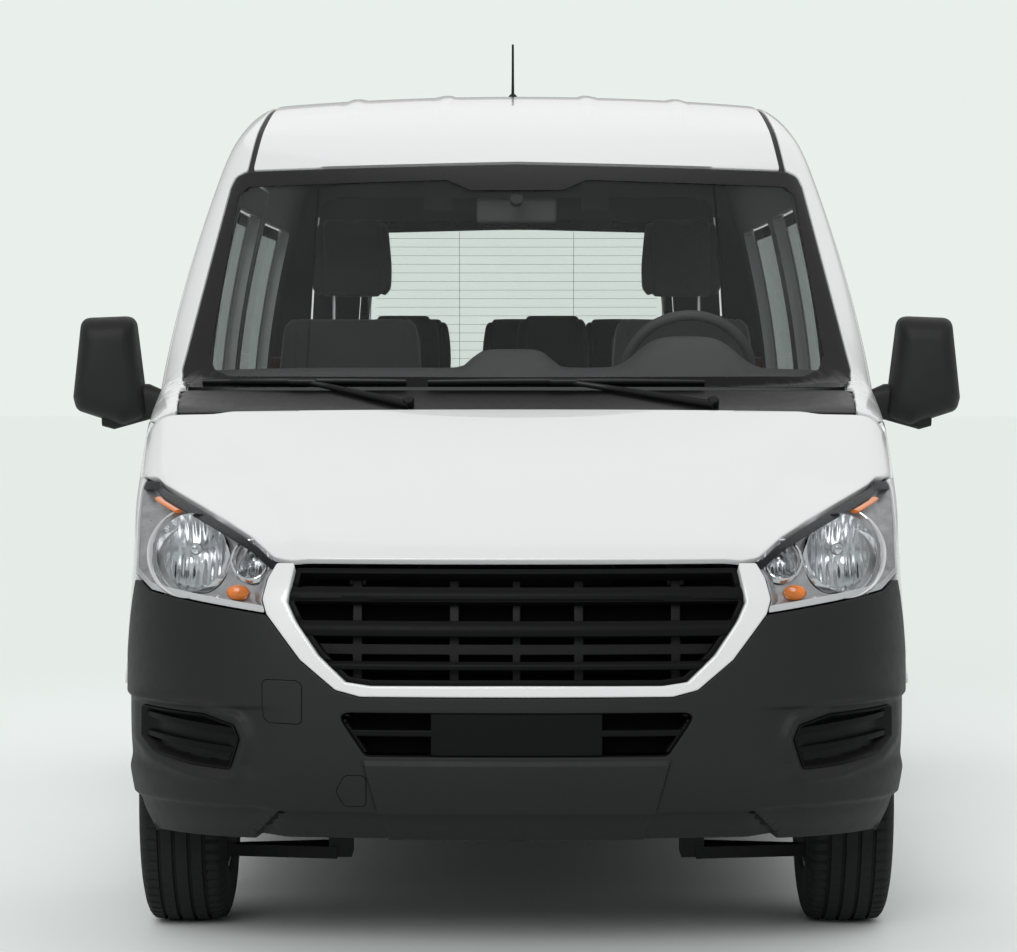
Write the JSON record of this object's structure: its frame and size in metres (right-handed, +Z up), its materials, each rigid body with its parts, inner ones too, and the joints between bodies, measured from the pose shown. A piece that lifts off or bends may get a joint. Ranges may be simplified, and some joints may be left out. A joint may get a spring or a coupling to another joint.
{
  "type": "minibus",
  "caption": "Passenger minibus with hinged front doors, bonnet and tailgate, steered front wheels, a fixed sliding side door and seats in rows.",
  "frame": {"origin": "on the ground under the middle of the bounding box", "axes": "+Y to the rear, +X to the vehicle's left, +Z up"},
  "size_m": [2.5, 5.2985, 2.528],
  "materials": {
    "paint": "gloss white",
    "plastic": "matte black",
    "bright": "bright reflector",
    "glass": "clear",
    "tyre": "matte",
    "steel": "silver",
    "iron": "dull",
    "fabric": "woven",
    "red": "translucent red"
  },
  "bodies": {
    "body": {"roof": "paint", "body_side_left": "paint", "body_side_right": "paint", "underbody": "paint", "windscreen": "glass", "cowl": "plastic", "wing_left": "paint", "wing_right": "paint", "front_bumper": "plastic", "lower_grille": "plastic", "grille": "plastic", "grille_surround": "paint", "headlamp_left": "bright", "headlamp_right": "bright", "engine": "iron", "radiator": "iron", "fuel_tank": "iron", "dashboard": "plastic", "driver_seat": "fabric", "passenger_seat": "fabric", "second_bench": "fabric", "third_bench": "fabric", "inner_mirror": "plastic", "aerial": "plastic", "sliding_door": "paint", "sliding_door_glass": "glass", "middle_glass_left": "glass", "rear_side_glass_left": "glass", "rear_side_glass_right": "glass", "tail_lamp_left": "red", "tail_lamp_right": "red", "rear_bumper": "plastic", "front_subframe": "iron", "rear_axle": "iron"},
    "door_left": {"front_door_left": "paint", "front_door_glass_left": "glass", "mirror_left": "plastic"},
    "door_right": {"front_door_right": "paint", "front_door_glass_right": "glass", "mirror_right": "plastic"},
    "bonnet": {"bonnet": "paint"},
    "tailgate": {"tailgate": "paint", "rear_glass": "glass"},
    "steering_wheel": {"steering_wheel": "plastic"},
    "knuckle_left": {"knuckle_left": "iron"},
    "knuckle_right": {"knuckle_right": "iron"},
    "wheel_front_left": {"tyre_front_left": "tyre", "rim_front_left": "steel"},
    "wheel_front_right": {"tyre_front_right": "tyre", "rim_front_right": "steel"},
    "wheel_rear_left": {"tyre_rear_left": "tyre", "rim_rear_left": "steel"},
    "wheel_rear_right": {"tyre_rear_right": "tyre", "rim_rear_right": "steel"}
  },
  "joints": [
    {"name": "left_door_hinge", "type": "hinge", "parent": "body", "child": "door_left", "pos_m": [0.996, -1.445, 1], "axis": [0, 0, 1], "range_deg": [-65, 0]},
    {"name": "right_door_hinge", "type": "hinge", "parent": "body", "child": "door_right", "pos_m": [-0.996, -1.445, 1], "axis": [0, 0, 1], "range_deg": [0, 65]},
    {"name": "bonnet_hinge", "type": "hinge", "parent": "body", "child": "bonnet", "pos_m": [0, -1.715, 1.368], "axis": [1, 0, 0], "range_deg": [-50, 0]},
    {"name": "tailgate_hinge", "type": "hinge", "parent": "body", "child": "tailgate", "pos_m": [0, 2.486, 2.155], "axis": [1, 0, 0], "range_deg": [0, 85]},
    {"name": "left_steering", "type": "hinge", "parent": "body", "child": "knuckle_left", "pos_m": [0.775, -1.78, 0.215], "axis": [-0.1611, 0, 0.9869], "range_deg": [-30, 30]},
    {"name": "right_steering", "type": "hinge", "parent": "body", "child": "knuckle_right", "pos_m": [-0.775, -1.78, 0.215], "axis": [0.1611, 0, 0.9869], "range_deg": [-30, 30]},
    {"name": "steering_wheel_turn", "type": "hinge", "parent": "body", "child": "steering_wheel", "pos_m": [0.5, -0.95, 1.47], "axis": [0, 0.8984, 0.4392], "range_deg": [-450, 450]},
    {"name": "front_left_wheel_spin", "type": "hinge", "parent": "knuckle_left", "child": "wheel_front_left", "pos_m": [0.875, -1.78, 0.345], "axis": [1, 0, 0], "continuous": true},
    {"name": "front_right_wheel_spin", "type": "hinge", "parent": "knuckle_right", "child": "wheel_front_right", "pos_m": [-0.875, -1.78, 0.345], "axis": [1, 0, 0], "continuous": true},
    {"name": "rear_left_wheel_spin", "type": "hinge", "parent": "body", "child": "wheel_rear_left", "pos_m": [0.875, 1.62, 0.345], "axis": [1, 0, 0], "continuous": true},
    {"name": "rear_right_wheel_spin", "type": "hinge", "parent": "body", "child": "wheel_rear_right", "pos_m": [-0.875, 1.62, 0.345], "axis": [1, 0, 0], "continuous": true}
  ],
  "couplings": [
    {"joint": "right_steering", "follows": "left_steering", "ratio": 1},
    {"joint": "steering_wheel_turn", "follows": "left_steering", "ratio": 15}
  ]
}
